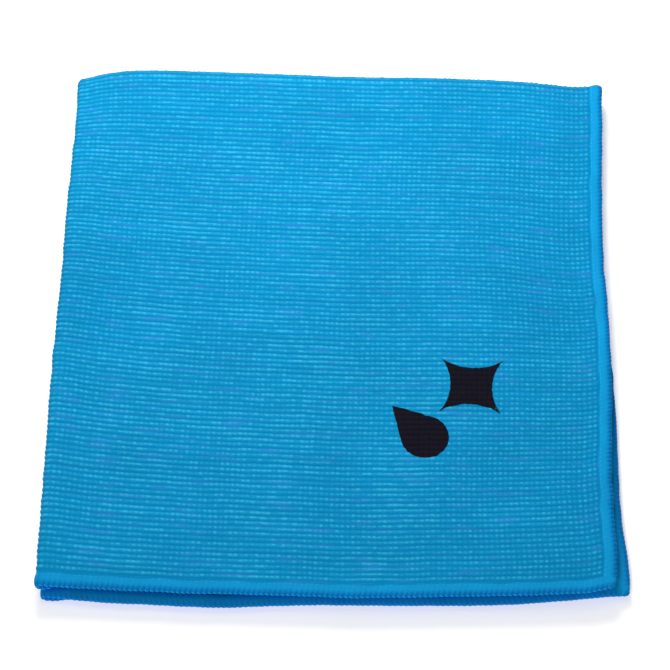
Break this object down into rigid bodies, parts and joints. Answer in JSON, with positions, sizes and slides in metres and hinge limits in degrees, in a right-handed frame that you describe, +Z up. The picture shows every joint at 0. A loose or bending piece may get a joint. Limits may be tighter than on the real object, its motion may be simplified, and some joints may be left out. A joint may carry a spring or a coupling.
{
  "type": "folded microfibre polishing cloth",
  "caption": "Ribbed blue microfibre polishing cloth with overlocked hems and a printed mark, folded in four, its upper half opening at the back fold.",
  "frame": {"origin": "centre of the folded cloth's box, at the face that it lies on", "axes": "+Z up out of the stack, +X from the left fold to the side hems, +Y from the front hems to the back fold"},
  "size_m": [0.1628, 0.1796, 0.0082],
  "materials": {
    "microfibre": "matte ribbed warp-knit pile",
    "overlock_thread": "satin polyester thread",
    "print_ink": "matte screen print, slightly broken by the ribs"
  },
  "bodies": {
    "lower_half": {"lower_outer_quarter": "microfibre", "lower_inner_quarter": "microfibre", "lower_left_fold": "microfibre", "lower_corner_fold": "microfibre", "lower_back_fold_outer": "microfibre", "lower_back_fold_inner": "microfibre", "lower_front_hem_outer": "overlock_thread", "lower_front_hem_inner": "overlock_thread", "lower_front_hem_nose": "overlock_thread", "lower_side_hem_outer": "overlock_thread", "lower_side_hem_inner": "overlock_thread", "lower_side_hem_back_outer": "overlock_thread", "lower_side_hem_back_inner": "overlock_thread"},
    "upper_half": {"upper_outer_quarter": "microfibre", "upper_inner_quarter": "microfibre", "upper_left_fold": "microfibre", "upper_corner_fold": "microfibre", "upper_back_fold_outer": "microfibre", "upper_back_fold_inner": "microfibre", "upper_front_hem_outer": "overlock_thread", "upper_front_hem_inner": "overlock_thread", "upper_front_hem_nose": "overlock_thread", "upper_side_hem_outer": "overlock_thread", "upper_side_hem_inner": "overlock_thread", "upper_side_hem_back_outer": "overlock_thread", "upper_side_hem_back_inner": "overlock_thread", "print_droplet": "print_ink", "print_sparkle": "print_ink"}
  },
  "joints": [
    {"name": "unfold", "type": "hinge", "parent": "lower_half", "child": "upper_half", "pos_m": [0, 0.08984, 0.0041], "axis": [-1, 0, 0], "range_deg": [0, 180]}
  ]
}
